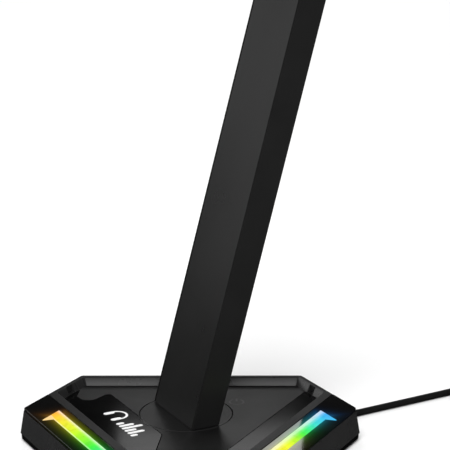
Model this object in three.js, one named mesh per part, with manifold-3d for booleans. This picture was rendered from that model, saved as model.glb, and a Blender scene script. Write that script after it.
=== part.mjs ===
// Headphone stand: a weighted base with two light bars, a leaning post that twist-locks into it,
// a saddle for the headband and a USB lead. Millimetres, +Z up, +Y to the back. The origin is on
// the ground, below the middle of the stand without its lead.
import * as THREE from 'three';
import { mergeVertices } from 'three/addons/utils/BufferGeometryUtils.js';
import Module from 'manifold-3d';

const wasm = await Module();
wasm.setup();

// ---------- driving dimensions ----------
const GAP = 0.3; // between pieces that touch on the real stand
const WIDE_Y = 27.5; // station of the base's widest corners
const WIDE_HALF = 83.2;
const REAR_HALF = 57.3;
const REAR_Y = WIDE_Y + 44.7;
const FRONT_Y = WIDE_Y - 112;
const SIDE_SLOPE = THREE.MathUtils.degToRad(62.3); // the long front sides, from the X axis
const CORNER_R = 2;

const BASE_TOP = 17.5;
const SHELL_BOTTOM = 3.5;
const FLARE = 2; // how far the walls spread from top to bottom
const WALL = 2.2;
const CAVITY_TOP = 11.2;
const TRAY_FLOOR = 13.5;
const RIM = 3;
const WALL_SLOPE = 1.8; // how far the tray's rear walls run inwards from top to floor
const RIDGE_IN = 23.5; // the ridge's two sides, from the long side of the base
const RIDGE_OUT = 18.5;
const TRAY_FRONT = 9;
const CHAMFER = 0.5;

const WINDOW_TOP = 17.35;
const WINDOW_THICK = 1.2;
const WINDOW_CHAMFER = 0.12;
const CHANNEL_FLOOR = 12.9;
const LIGHT_OUT = 7.6; // the light bar's two edges, from the long side of the base
const LIGHT_IN = 14.2;
const LIGHT_BACK = 17.5; // its hooked rear end, from the rear side edge
const LIGHT_HOOK = 21.5;
const LIGHT_TIP = 2;
const LIGHT_FRONT = 13;
const LIGHT_CREST = 18.5;

const POST_X = -2;
const POST_Y = WIDE_Y + 2.1;
const LEAN = 0.279; // sideways travel of the post for each millimetre of height
const POST_W = 43;
const POST_D = 15.1;
const POST_TOP = 234.5; // above the tray floor, as every height on the post is
const FOOT_R = 23.35;
const BOSS_R = 17.2;

const HEAD_HALF = 25;
const HEAD_CROWN = 5.5; // the saddle's middle above its sides
const HEAD_BOTTOM = POST_TOP + GAP;
const SADDLE_TOP = 248.5;

const CABLE_R = 1.75;
const EXIT_Z = 2.9;
const RELIEF_LENGTH = 7;
const COIL_X = 173.5;
const COIL_Y = 79.3;
const COIL_R = 21;
const COIL_BASE = 1;
const COIL_HEIGHT = 10;
// The lead from its strain relief to the coil.
const CABLE_ROUTE = [
  [76.7, 53.6, 2.9], [78.9, 54.9, 2.8], [81.5, 56.4, 2.4], [84.1, 57.9, 2], [86.7, 59.4, 1.8],
  [90.1, 61.4, 1.8], [93.6, 63.4, 1.8], [97.9, 65.9, 1.8], [105.7, 70.4, 1.8], [114.4, 75.4, 1.8],
  [123, 80.4, 1.8], [131.7, 85.4, 1.8], [139.5, 90, 1.8], [147.9, 94.9, 1.9],
];

const FINISH = {
  satin: { color: 0x1d1d1e, roughness: 0.5, metalness: 0 },
  gloss: { color: 0x060607, roughness: 0.1, metalness: 0 },
  diffuser: { color: 0xd8f0d0, roughness: 0.3, metalness: 0 },
  rubber: { color: 0x121212, roughness: 0.85, metalness: 0 },
  steel: { color: 0x8c8f92, roughness: 0.4, metalness: 1 },
  board: { color: 0x0f3a1e, roughness: 0.5, metalness: 0 },
  white: { color: 0xe6e6e2, roughness: 0.5, metalness: 0 },
};

// ---------- shape helpers ----------
const point = (x, y) => new THREE.Vector2(x, y);
const FRONT_HALF = WIDE_HALF - (WIDE_Y - FRONT_Y) / Math.tan(SIDE_SLOPE);

const BASE = [
  point(REAR_HALF, REAR_Y), point(-REAR_HALF, REAR_Y), point(-WIDE_HALF, WIDE_Y),
  point(-FRONT_HALF, FRONT_Y), point(FRONT_HALF, FRONT_Y), point(WIDE_HALF, WIDE_Y),
];
// Sides of the base by number, each from its corner to the next.
const REAR = 0;
const REAR_SIDE = 1;
const LONG_SIDE = 2;
const FRONT = 3;

function sideLine(outline, index, distance) {
  const start = outline[index];
  const along = outline[(index + 1) % outline.length].clone().sub(start).normalize();
  const inward = point(-along.y, along.x);
  return { start: start.clone().addScaledVector(inward, distance), along, inward };
}

function crossing(a, b) {
  const reach = b.start.clone().sub(a.start).cross(b.along) / a.along.cross(b.along);
  return a.start.clone().addScaledVector(a.along, reach);
}

// Where two lines meet that run parallel to sides of the base, each at a distance inside it.
function meet(sideA, distanceA, sideB, distanceB) {
  return crossing(sideLine(BASE, sideA, distanceA), sideLine(BASE, sideB, distanceB));
}

// Every side of a counter-clockwise outline moved inwards, each by its own distance.
function inset(outline, distances) {
  const lines = outline.map((_, i) => sideLine(outline, i, distances[i] ?? distances));
  return lines.map((line, i) => crossing(lines.at(i - 1), line));
}

// The outline with an arc at each corner; radius is one number, or one for each corner.
function rounded(outline, radius, steps = 3) {
  return outline.flatMap((corner, i) => {
    const r = radius[i] ?? radius;
    const before = outline.at(i - 1).clone().sub(corner).normalize();
    const after = outline[(i + 1) % outline.length].clone().sub(corner).normalize();
    const half = before.angleTo(after) / 2;
    const middle = before.clone().add(after).normalize();
    const centre = corner.clone().addScaledVector(middle, r / Math.sin(half));
    const first = corner.clone().addScaledVector(before, r / Math.tan(half)).sub(centre);
    const last = corner.clone().addScaledVector(after, r / Math.tan(half)).sub(centre);
    const sweep = Math.atan2(first.cross(last), first.dot(last));
    return Array.from({ length: steps + 1 }, (_, k) =>
      first.clone().rotateAround(point(0, 0), (sweep * k) / steps).add(centre));
  });
}

const mirrored = (outline) => outline.map((p) => point(-p.x, p.y)).reverse();
const moved = (outline, x, y) => outline.map((p) => point(p.x + x, p.y + y));
const rectangle = (x0, y0, x1, y1) => [point(x0, y0), point(x1, y0), point(x1, y1), point(x0, y1)];

// A closed surface through rings of points, capped at both ends. The first ring, seen from the
// next one, runs clockwise.
function loft(rings, capOutline) {
  const count = rings[0].length;
  const faces = [];
  for (let k = 0; k + 1 < rings.length; k += 1) {
    for (let i = 0; i < count; i += 1) {
      const a = k * count + i;
      const b = k * count + ((i + 1) % count);
      faces.push(a, b, b + count, a, b + count, a + count);
    }
  }
  const last = (rings.length - 1) * count;
  THREE.ShapeUtils.triangulateShape(capOutline(0), [])
    .forEach(([a, b, c]) => faces.push(a, c, b));
  THREE.ShapeUtils.triangulateShape(capOutline(rings.length - 1), [])
    .forEach(([a, b, c]) => faces.push(last + a, last + b, last + c));
  const geometry = new THREE.BufferGeometry();
  geometry.setAttribute('position', new THREE.Float32BufferAttribute(rings.flat(2), 3));
  geometry.setIndex(faces);
  return geometry;
}

// Horizontal outlines at rising heights, joined into one solid.
function stack(...layers) {
  const rings = layers.map(([z, outline]) => outline.map((p) => [p.x, p.y, z]));
  return loft(rings, (k) => layers[k][1]);
}

const prism = (outline, z0, z1) => stack([z0, outline], [z1, outline]);

const cylinder = (x, y, r, z0, z1, segments = 24) =>
  new THREE.CylinderGeometry(r, r, z1 - z0, segments).rotateX(Math.PI / 2)
    .translate(x, y, (z0 + z1) / 2);

// A solid of revolution about Z through points of radius and height, from the lowest up.
const turned = (profile, segments = 24) =>
  new THREE.LatheGeometry(profile.map(([r, z]) => point(r, z)), segments).rotateX(Math.PI / 2);

function solid(geometry) {
  const bare = geometry.clone();
  bare.deleteAttribute('normal');
  bare.deleteAttribute('uv');
  const welded = mergeVertices(bare, 1e-4);
  return new wasm.Manifold(new wasm.Mesh({
    numProp: 3,
    vertProperties: welded.attributes.position.array,
    triVerts: Uint32Array.from(welded.index.array),
  }));
}

function surface(body) {
  const { vertProperties, triVerts } = body.getMesh();
  const geometry = new THREE.BufferGeometry();
  geometry.setAttribute('position', new THREE.BufferAttribute(vertProperties, 3));
  geometry.setIndex(Array.from(triVerts));
  return geometry;
}

// The same shape on the other side of the base's middle line.
const flipped = (geometry) => {
  const body = solid(geometry);
  return surface(body.mirror([1, 0, 0]));
};

const cut = (geometry, ...tools) =>
  surface(tools.reduce((body, tool) => body.subtract(solid(tool)), solid(geometry)));
const join = (geometry, ...others) =>
  surface(others.reduce((body, other) => body.add(solid(other)), solid(geometry)));

function piece(parent, name, geometry, finish) {
  const mesh = new THREE.Mesh(geometry, new THREE.MeshStandardMaterial(FINISH[finish]));
  mesh.name = name;
  parent.add(mesh);
}

const stand = new THREE.Group();

// ---------- places that several pieces share ----------
const SCREW_SPOTS = [
  ['rear_left', -30, REAR_Y - 9], ['rear_right', 30, REAR_Y - 9],
  ['front_left', -24, WIDE_Y - 84], ['front_right', 24, WIDE_Y - 84],
];
const SCREW_R = 1.25;
const SCREW_HOLE_R = 1.55;
const SCREW_HEAD_R = 2.7;
const SCREW_POCKET_R = 3.1;
const SCREW_BOSS_R = 3.6;
const HOLLOW_R = 24; // clear space around the post's boss

// ---------- base shell ----------
// The base's outline moved in by a distance, with round corners.
const plan = (distance, radius = CORNER_R) => rounded(inset(BASE, distance), radius);
const flareAt = (z) => (-FLARE * (BASE_TOP - z)) / (BASE_TOP - SHELL_BOTTOM);

// The tray, bounded by the rim at the back and by the two ridges. rear moves its three rear walls
// in, and others the rest.
const tray = (rear, others = 0) => rounded(inset(BASE, [
  RIM + rear, RIM + rear, RIDGE_IN + others, TRAY_FRONT + others, RIDGE_IN + others, RIM + rear,
]), 1);
const trayCut = () => stack(
  [TRAY_FLOOR, tray(WALL_SLOPE)], [BASE_TOP - CHAMFER, tray(0.2)],
  [BASE_TOP + CHAMFER, tray(-2 * CHAMFER, -2 * CHAMFER)]);
const INLAY_EDGE = RIM + WALL_SLOPE + 0.1; // where the inlays stop short of the rear walls

// The long corner on the left, between two distances from the long side and inside the ends.
const stripe = (near, far, ends) => [
  meet(REAR_SIDE, ends, LONG_SIDE, near), meet(LONG_SIDE, near, FRONT, ends),
  meet(FRONT, ends, LONG_SIDE, far), meet(LONG_SIDE, far, REAR_SIDE, ends),
];

// The glossy inlay on the left of the tray: a straight inner side, a slanting front end, and a hump
// and a dip at its back.
const RIDGE_FOOT = RIDGE_IN + 0.1;
const BADGE_EDGE = 50.5;
const BADGE_REAR = 8.8; // from the rear edge of the base
const BADGE_HUMP = [point(-41.2, WIDE_Y + 28.6), point(-43.6, WIDE_Y + 27.8)];
const BADGE_DIP = [point(-52.5, WIDE_Y + 16.6), point(-58.4, WIDE_Y + 25)];
const BADGE_CORNERS = [0.5, 2, 4, 1.6, 1.6, 5, 4, 0.5];
const badge = (margin) => {
  const inner = sideLine(BASE, LONG_SIDE, BADGE_EDGE);
  const nose = { start: point(-13, WIDE_Y - 25), along: point(-0.118, -1).normalize() };
  const outline = [
    meet(REAR_SIDE, INLAY_EDGE, LONG_SIDE, RIDGE_FOOT),
    crossing(nose, sideLine(BASE, LONG_SIDE, RIDGE_FOOT)),
    crossing(nose, inner), ...BADGE_HUMP, ...BADGE_DIP,
    meet(REAR, BADGE_REAR, REAR_SIDE, INLAY_EDGE),
  ];
  return rounded(inset(outline, margin), BADGE_CORNERS, 5);
};

// The glossy band on the right of the tray, along the foot of the ridge.
const BAND_EDGE = 36.7;
const BAND_FRONT = 34;
const band = (margin) => mirrored(rounded(inset([
  meet(REAR_SIDE, INLAY_EDGE, LONG_SIDE, RIDGE_FOOT), meet(LONG_SIDE, RIDGE_FOOT, FRONT, BAND_FRONT),
  meet(FRONT, BAND_FRONT, LONG_SIDE, BAND_EDGE), meet(LONG_SIDE, BAND_EDGE, REAR_SIDE, INLAY_EDGE),
], margin), 0.6));

// An upright slot down the tray's sloping wall, in the middle of a rear side edge.
const NOTCH_OUT = RIM - 0.2; // its outer side, from the rear side edge
const NOTCH_AT = 13;
const NOTCH_LONG = 5.3;
const NOTCH_WIDE = 2.3;
const notch = () => {
  const { start, along, inward } = sideLine(BASE, REAR_SIDE, NOTCH_OUT);
  const corner = (far, deep) =>
    start.clone().addScaledVector(along, NOTCH_AT + far).addScaledVector(inward, deep);
  return prism([
    corner(0, 0), corner(NOTCH_LONG, 0), corner(NOTCH_LONG, NOTCH_WIDE), corner(0, NOTCH_WIDE),
  ], TRAY_FLOOR, BASE_TOP + 1);
};

// The lead leaves the middle of the right rear side edge, square to it.
const exitMiddle = point((REAR_HALF + WIDE_HALF) / 2, (REAR_Y + WIDE_Y) / 2);
const exitTurn = Math.atan2(WIDE_HALF - REAR_HALF, REAR_Y - WIDE_Y);
const alongExit = (geometry) =>
  geometry.rotateY(Math.PI / 2).rotateZ(exitTurn).translate(exitMiddle.x, exitMiddle.y, EXIT_Z);
const EXIT_HOLE_R = 2.7;
const exitHole = () => alongExit(cylinder(0, 0, EXIT_HOLE_R, -5, 6));

const INLAY_FLOOR = 12.7;
// The land that the tray keeps between the badge and the post's foot.
const footGuard = (margin) => cylinder(POST_X, POST_Y, FOOT_R + 0.8 + margin, 0, 20, 64);
const windowSeat = WINDOW_TOP - WINDOW_THICK - GAP;

function shell() {
  const outer = stack(
    [SHELL_BOTTOM, plan(0.5 - FLARE)], [SHELL_BOTTOM + 0.5, plan(flareAt(SHELL_BOTTOM + 0.5))],
    [BASE_TOP - CHAMFER, plan(flareAt(BASE_TOP - CHAMFER))], [BASE_TOP, plan(CHAMFER)],
  );
  const cavity = prism(plan(WALL, 1), SHELL_BOTTOM - 1, CAVITY_TOP);
  const bosses = SCREW_SPOTS.map(([, x, y]) =>
    cylinder(x, y, SCREW_BOSS_R, SHELL_BOTTOM + 0.5, CAVITY_TOP + 0.5));
  const hollow = bosses.reduce((body, boss) => cut(body, boss), cavity);
  const leftSeat = prism(stripe(-4, RIDGE_OUT, -4), windowSeat, BASE_TOP + 1);
  const leftChannel = prism(rounded(stripe(4.5, 17, 5), 1), CHANNEL_FLOOR, BASE_TOP);
  const seats = [leftSeat, leftChannel];
  return cut(
    outer, hollow, ...seats, ...seats.map(flipped),
    trayCut(),
    cut(prism(badge(0), INLAY_FLOOR, TRAY_FLOOR + 1), footGuard(0)),
    prism(band(0), INLAY_FLOOR, TRAY_FLOOR + 1),
    notch(), flipped(notch()),
    cylinder(POST_X, POST_Y, FOOT_R + GAP, CAVITY_TOP - 1, TRAY_FLOOR + 1, 64),
    ...SCREW_SPOTS.map(([, x, y]) => cylinder(x, y, SCREW_HOLE_R, SHELL_BOTTOM - 1, CAVITY_TOP - 1, 12)),
    exitHole(),
  );
}
piece(stand, 'base_top_shell', shell(), 'satin');

// ---------- windows, light bars and their strips ----------
const windowOutline = rounded([
  meet(REAR_SIDE, 0, LONG_SIDE, 0), meet(LONG_SIDE, 0, FRONT, 0),
  meet(FRONT, 0, LONG_SIDE, RIDGE_OUT - GAP), meet(LONG_SIDE, RIDGE_OUT - GAP, REAR_SIDE, 0),
], [CORNER_R, CORNER_R, 0.4, 0.4]);

// The light bar's outline: a hooked, pointed rear end and a square front end.
const lightOutline = (margin) => inset([
  meet(REAR_SIDE, LIGHT_BACK, LONG_SIDE, LIGHT_IN), meet(REAR_SIDE, LIGHT_BACK, LONG_SIDE, LIGHT_TIP),
  meet(REAR_SIDE, LIGHT_HOOK, LONG_SIDE, LIGHT_OUT), meet(LONG_SIDE, LIGHT_OUT, FRONT, LIGHT_FRONT),
  meet(FRONT, LIGHT_FRONT, LONG_SIDE, LIGHT_IN),
], margin);

function lightWindow() {
  const rim = inset(windowOutline, WINDOW_CHAMFER);
  const slab = stack(
    [windowSeat + GAP, windowOutline], [WINDOW_TOP - WINDOW_CHAMFER, windowOutline], [WINDOW_TOP, rim]);
  return cut(slab, prism(lightOutline(-0.25), windowSeat - 1, WINDOW_TOP + 1));
}

// A straight-sided body with a roof of two long facets, that runs out at the hook's tip.
function lightBar() {
  const outline = lightOutline(0);
  const crest = [
    meet(REAR_SIDE, 19.6, LONG_SIDE, 10.8), meet(LONG_SIDE, 10.8, FRONT, LIGHT_FRONT),
  ];
  const eaves = WINDOW_TOP + 0.25;
  const low = windowSeat + GAP;
  const points = [
    ...outline.map((p) => [p.x, p.y, low]), ...outline.map((p) => [p.x, p.y, eaves]),
    ...crest.map((p) => [p.x, p.y, LIGHT_CREST]),
  ];
  const walls = outline.flatMap((_, i) => {
    const next = (i + 1) % 5;
    return [i, next, next + 5, i, next + 5, i + 5];
  });
  const underside = [0, 2, 1, 0, 3, 2, 0, 4, 3];
  const roof = [5, 6, 10, 6, 7, 10, 7, 8, 11, 7, 11, 10, 8, 9, 11, 9, 5, 10, 9, 10, 11];
  const geometry = new THREE.BufferGeometry();
  geometry.setAttribute('position', new THREE.Float32BufferAttribute(points.flat(), 3));
  geometry.setIndex([...walls, ...underside, ...roof]);
  return join(geometry, prism(inset(stripOutline, 0.3), CHANNEL_FLOOR + 1.4, low + 0.4));
}

// The strip of LEDs under the light bar, which lights the bar's keel.
const stripOutline = [
  meet(REAR_SIDE, 24, LONG_SIDE, 8.4), meet(LONG_SIDE, 8.4, FRONT, 16),
  meet(FRONT, 16, LONG_SIDE, 13.4), meet(LONG_SIDE, 13.4, REAR_SIDE, 24),
];
const ledStrip = () => prism(stripOutline, CHANNEL_FLOOR + 0.2, CHANNEL_FLOOR + 1);

Object.entries({ left: (geometry) => geometry, right: flipped }).forEach(([hand, onSide]) => {
  piece(stand, `${hand}_light_window`, onSide(lightWindow()), 'gloss');
  piece(stand, `${hand}_light_bar`, onSide(lightBar()), 'diffuser');
  piece(stand, `${hand}_led_strip`, onSide(ledStrip()), 'white');
});

// ---------- inlays of the tray ----------
const INLAY_TOP = TRAY_FLOOR + 0.15;
const inlay = (outline, rim) => stack(
  [INLAY_FLOOR + GAP, outline], [INLAY_TOP - 0.25, outline], [INLAY_TOP, rim]);
piece(stand, 'badge_panel', cut(inlay(badge(0.25), badge(0.5)), footGuard(0.25)), 'gloss');
piece(stand, 'side_panel', inlay(band(0.25), band(0.5)), 'gloss');

// ---------- inside the base ----------
const PLATE_BOTTOM = 0.6;
const PLATE_TOP = 3.2;
const footSpots = [
  ...[-1, 1].map((hand) => ({
    name: hand < 0 ? 'foot_rear_left' : 'foot_rear_right',
    x: hand * (exitMiddle.x - 9 * Math.cos(exitTurn)), y: exitMiddle.y - 9 * Math.sin(exitTurn),
    turn: hand * exitTurn,
  })),
  ...[-1, 1].map((hand) => ({
    name: hand < 0 ? 'foot_front_left' : 'foot_front_right',
    x: hand * 20, y: FRONT_Y + 14, turn: hand * (SIDE_SLOPE - Math.PI / 2),
  })),
];
const PAD_HALF = 12; // half a foot's length
const footOutline = ({ x, y, turn }, margin) => moved(
  rounded(rectangle(-3.5, -PAD_HALF, 3.5, PAD_HALF), 3.2, 4)
    .map((p) => p.multiplyScalar(1 - margin / PAD_HALF).rotateAround(point(0, 0), turn)), x, y);

const BOARD = { x0: 30, x1: 61, y0: WIDE_Y - 26, y1: WIDE_Y + 16, z: 5.2 };

function bottomPlate() {
  const body = stack(
    [PLATE_BOTTOM, plan(1.1 - FLARE)], [PLATE_BOTTOM + 0.5, plan(0.6 - FLARE)],
    [PLATE_TOP, plan(0.5 - FLARE)]);
  // The board lies on two rails.
  const rail = (y) => new THREE.BoxGeometry(BOARD.x1 - BOARD.x0, 2, 2)
    .translate((BOARD.x0 + BOARD.x1) / 2, y, BOARD.z - GAP - 1);
  return cut(
    join(body, rail(BOARD.y0 + 4), rail(BOARD.y1 - 4)),
    ...footSpots.map((spot) => prism(footOutline(spot, -0.3), PLATE_BOTTOM - 1, 1.9)),
    ...SCREW_SPOTS.flatMap(([, x, y]) => [
      cylinder(x, y, SCREW_POCKET_R, PLATE_BOTTOM - 1, 2.1),
      cylinder(x, y, SCREW_HOLE_R, 1, PLATE_TOP + 1, 12)]),
    exitHole());
}
piece(stand, 'base_bottom_plate', bottomPlate(), 'satin');

footSpots.forEach((spot) => piece(stand, spot.name,
  stack([0, footOutline(spot, 0.5)], [0.4, footOutline(spot, 0)], [1.6, footOutline(spot, 0)]), 'rubber'));

// A pan-head screw, head down, with a hexagonal driver recess.
const screw = (x, y, z, length) => cut(turned([
  [0, z], [SCREW_HEAD_R - 0.4, z], [SCREW_HEAD_R, z + 0.4], [SCREW_HEAD_R, z + 1.1], [SCREW_R, z + 1.1],
  [SCREW_R, z + length - 0.6], [SCREW_R - 0.5, z + length], [0, z + length],
], 16), cylinder(0, 0, 1.1, z - 1, z + 0.7, 6)).translate(x, y, 0);
SCREW_SPOTS.forEach(([spot, x, y]) => piece(stand, `base_screw_${spot}`, screw(x, y, 0.9, 8.6), 'steel'));

const ballast = cut(
  prism(inset(BASE, 11), PLATE_TOP + GAP, 6.6),
  new THREE.BoxGeometry(120, 90, 20).translate(BOARD.x0 - 3 + 60, WIDE_Y + 5, 5),
  cylinder(POST_X, POST_Y, HOLLOW_R, 0, 10, 40),
  ...SCREW_SPOTS.map(([, x, y]) => cylinder(x, y, SCREW_BOSS_R + 0.7, 0, 10)));
piece(stand, 'ballast_plate', ballast, 'steel');

const boardX = (BOARD.x0 + BOARD.x1) / 2;
const boardY = (BOARD.y0 + BOARD.y1) / 2;
// The board with its controller chip and the socket for the strips' leads.
piece(stand, 'control_board', join(
  new THREE.BoxGeometry(BOARD.x1 - BOARD.x0, BOARD.y1 - BOARD.y0, 1.2)
    .translate(boardX, boardY, BOARD.z + 0.6),
  new THREE.BoxGeometry(9, 9, 1.4).translate(boardX - 4, boardY - 6, BOARD.z + 1.7),
  new THREE.BoxGeometry(8, 6, 3).translate(boardX + 6, boardY + 14, BOARD.z + 2.4),
), 'board');

// The key under the tray floor that senses a fingertip.
const KEY_X = 23.4;
const KEY_Y = WIDE_Y + 17.4;
const KEY_R = 3;
piece(stand, 'touch_key_pad', cylinder(KEY_X, KEY_Y, KEY_R, CAVITY_TOP - 1, CAVITY_TOP - GAP, 20), 'board');

// The ring that the post's lugs turn under, with a way in for each lug.
const LUG_TURNS = [0, 1, 2].map((k) => (k * 2 * Math.PI) / 3);
const LUG_ENTRY = THREE.MathUtils.degToRad(45);
const LUG_REACH = 20.2;
const LUG_HALF = 3.4;
const RING_R = 25.6;
const RING_TOP = CAVITY_TOP - GAP;
const RING_BOTTOM = RING_TOP - 2.3;
const lug = (turn, margin, z0, z1) =>
  new THREE.BoxGeometry(4, 2 * (LUG_HALF + margin), z1 - z0)
    .translate(LUG_REACH + Math.min(margin, 0.6) - 2, 0, (z0 + z1) / 2).rotateZ(turn);
const lockRing = cut(
  cylinder(0, 0, RING_R, RING_BOTTOM, RING_TOP, 48),
  cylinder(0, 0, BOSS_R + 0.4, RING_BOTTOM - 1, RING_TOP + 1, 48),
  ...LUG_TURNS.map((turn) => lug(turn + LUG_ENTRY, 0.8, RING_BOTTOM - 1, RING_TOP + 1)),
).translate(POST_X, POST_Y, 0);
piece(stand, 'twist_lock_ring', lockRing, 'steel');

// A ribbed, tapered sleeve that grips the wall and keeps the lead from kinking.
const relief = alongExit(turned([
  [0, -4.5], [2.4, -4.5], [2.4, -1.5], [2.2, -1.3], [2.2, 1.2], [2, 1.6], [2.15, 2], [2.15, 2.8],
  [1.95, 3.2], [2.1, 3.6], [2.1, 4.4], [1.9, 4.8], [2.05, 5.2], [2.05, 5.8], [1.85, 6.2],
  [1.95, RELIEF_LENGTH - 0.4], [1.8, RELIEF_LENGTH], [0, RELIEF_LENGTH],
], 16));
piece(stand, 'strain_relief', relief, 'rubber');

// ---------- post ----------
// Its own frame: X across the wide face, +Y the way it leans, Z = 0 at the tray floor.
const post = new THREE.Group();
post.position.set(POST_X, POST_Y, TRAY_FLOOR);
post.rotation.z = -SIDE_SLOPE;
stand.add(post);
const leaning = (geometry) =>
  geometry.applyMatrix4(new THREE.Matrix4().makeShear(0, 0, 0, 0, 0, LEAN));

const FOOT_BOTTOM = CAVITY_TOP - TRAY_FLOOR;
const BOSS_BOTTOM = RING_BOTTOM - GAP - 2.5 - TRAY_FLOOR;
const LUG_TOP = RING_BOTTOM - GAP - TRAY_FLOOR;
const POST_SCREWS = [['left', -9], ['right', 9]];
const POST_SCREW_Y = 1.9;
const postFoot = cut(
  join(
    turned([
      [0, BOSS_BOTTOM], [BOSS_R - 0.4, BOSS_BOTTOM], [BOSS_R, BOSS_BOTTOM + 0.4], [BOSS_R, FOOT_BOTTOM],
      [FOOT_R, FOOT_BOTTOM], [FOOT_R, -0.3], [FOOT_R - 0.3, 0], [0, 0],
    ], 64),
    ...LUG_TURNS.map((turn) => lug(turn + SIDE_SLOPE, 0, BOSS_BOTTOM + 0.1, LUG_TOP))),
  ...POST_SCREWS.flatMap(([, x]) => [
    cylinder(x, POST_SCREW_Y, SCREW_POCKET_R, BOSS_BOTTOM - 1, BOSS_BOTTOM + 2.4),
    cylinder(x, POST_SCREW_Y, SCREW_HOLE_R, BOSS_BOTTOM, 1, 12)]));
piece(post, 'post_foot', postFoot, 'satin');

const TENON = rounded(rectangle(-17, -4.3, 17, 4.9), 1, 2);
piece(post, 'foot_tenon', cut(leaning(prism(TENON, GAP, 30)),
  ...POST_SCREWS.map(([, x]) => cylinder(x, POST_SCREW_Y, SCREW_HOLE_R, -1, 13, 12))), 'steel');
POST_SCREWS.forEach(([hand, x]) => piece(post, `post_screw_${hand}`,
  screw(x, POST_SCREW_Y, BOSS_BOTTOM + 0.9, 18.5), 'steel'));

// A channel, open to the front, with a step inside its lips that holds the cover.
const half = POST_W / 2;
const front = -POST_D / 2;
const LIP = 0.45;
const SEAM = 0.7; // the groove at each side of the cover
const POST_WALL = 2;
const COVER_BACK = front + 2.3;
const channel = [
  point(-half, front), point(-half + LIP, front), point(-half + LIP, COVER_BACK + 0.25),
  point(-half + POST_WALL, COVER_BACK + 0.25), point(-half + POST_WALL, -front - POST_WALL),
  point(half - POST_WALL, -front - POST_WALL), point(half - POST_WALL, COVER_BACK + 0.25),
  point(half - LIP, COVER_BACK + 0.25), point(half - LIP, front), point(half, front),
  point(half, -front), point(-half, -front),
];
const channelR = [0.3, 0.15, 0.1, 0.1, 0.5, 0.5, 0.1, 0.1, 0.15, 0.3, 0.7, 0.7];
piece(post, 'post_body', leaning(prism(rounded(channel, channelR, 2), GAP, POST_TOP)), 'satin');
const cover = rectangle(-half + LIP + SEAM, front + 0.08, half - LIP - SEAM, COVER_BACK);
piece(post, 'post_front_cover',
  leaning(prism(rounded(cover, [0.3, 0.3, 0.15, 0.15], 2), GAP, POST_TOP)), 'satin');

// ---------- head ----------
// Stations along Y from the front tip to the back: underside, crown and half-width.
const HEAD_STATIONS = [
  [-4, 241.5, 257, 0.94], [-2, 240, 259.2, 0.98], [0.5, 239, 260, 1], [4, 237.6, 258.6, 1],
  [7.2, 236, 253, 1], [11, HEAD_BOTTOM, 249.2, 1], [16, HEAD_BOTTOM, SADDLE_TOP, 1],
  [58, HEAD_BOTTOM, SADDLE_TOP, 1], [63, HEAD_BOTTOM, 249.2, 1], [67, HEAD_BOTTOM, 252, 1],
  [70.5, HEAD_BOTTOM, 254.6, 1], [74.5, HEAD_BOTTOM, 255, 0.99], [77.5, 236.5, 252.8, 0.94],
];
const ARCH = [25, 22.5, 19, 14, 9, 4, -4, -9, -14, -19, -22.5, -25];
const archDrop = (x) => HEAD_CROWN * Math.max(0, (Math.abs(x) - 4) / (HEAD_HALF - 4)) ** 2;

function headSection([y, low, crown, width]) {
  const lower = [[-21.5, low], [21.5, low], [HEAD_HALF, low + 3.5]];
  const arch = ARCH.map((x) => [x, crown - archDrop(x)]);
  const ring = [...lower, ...arch, [-HEAD_HALF, low + 3.5]];
  return ring.map(([x, z]) => [x * width, y, z]);
}

// Sections along Y joined into one solid; each is a ring of X, Y, Z.
function alongY(sections) {
  const rings = sections.toReversed();
  return loft(rings, (k) => rings[k].map(([x, , z]) => point(x, z)));
}

const headScrews = [['front', 22], ['rear', 48]];
const VOID_TOP = SADDLE_TOP - HEAD_CROWN - 0.6;
const headBody = cut(
  alongY(HEAD_STATIONS.map(headSection)),
  headScrews.reduce((room, [, y]) => cut(room, cylinder(0, y, 3.4, HEAD_BOTTOM + 2.4, 260)),
    new THREE.BoxGeometry(39.6, 62, VOID_TOP - 230).translate(0, 43, (VOID_TOP + 230) / 2)),
  ...headScrews.map(([, y]) => cylinder(0, y, SCREW_HOLE_R, 230, VOID_TOP + 1, 12)));
piece(post, 'head_body', headBody, 'satin');

const underside = cut(
  prism(rounded(rectangle(-19.5, 12.3, 19.5, 73.7), 1), HEAD_BOTTOM + 0.2, HEAD_BOTTOM + 2),
  leaning(prism(rectangle(-17.4, -4.7, 17.4, 5.3), 200, 245)),
  ...headScrews.map(([, y]) => cylinder(0, y, SCREW_HOLE_R, 230, 240, 12)));
piece(post, 'head_underside', underside, 'satin');
headScrews.forEach(([where, y]) => piece(post, `head_screw_${where}`,
  screw(0, y, HEAD_BOTTOM - 1.2, 7.5), 'steel'));
piece(post, 'head_tenon', leaning(prism(TENON, 205, VOID_TOP - 1)), 'steel');

// The cushion pad lies on the saddle and follows its arch.
const PAD_STATIONS = [[13, 0.9], [14.2, 2], [16, 2.4], [56, 2.4], [57.8, 2], [59, 0.9]];
const padSection = ([y, thick]) => {
  const arch = ARCH.slice(1, -1);
  const top = arch.map((x) => [x, y, SADDLE_TOP + GAP + thick - archDrop(x)]);
  const foot = arch.toReversed().map((x) => [x, y, SADDLE_TOP + GAP + 0.35 - archDrop(x)]);
  return [...foot, ...top];
};
piece(post, 'head_pad', alongY(PAD_STATIONS.map(padSection)), 'rubber');

// ---------- lead ----------
const lead = new THREE.Group();
stand.add(lead);

const route = new THREE.CatmullRomCurve3(CABLE_ROUTE.map((p) => new THREE.Vector3(...p)));
const cableSection = new THREE.Shape(Array.from({ length: 8 }, (_, k) =>
  point(CABLE_R, 0).rotateAround(point(0, 0), (k * Math.PI) / 4)));
piece(lead, 'cable_run',
  new THREE.ExtrudeGeometry(cableSection, { extrudePath: route, steps: 12, bevelEnabled: false }), 'rubber');

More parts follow.
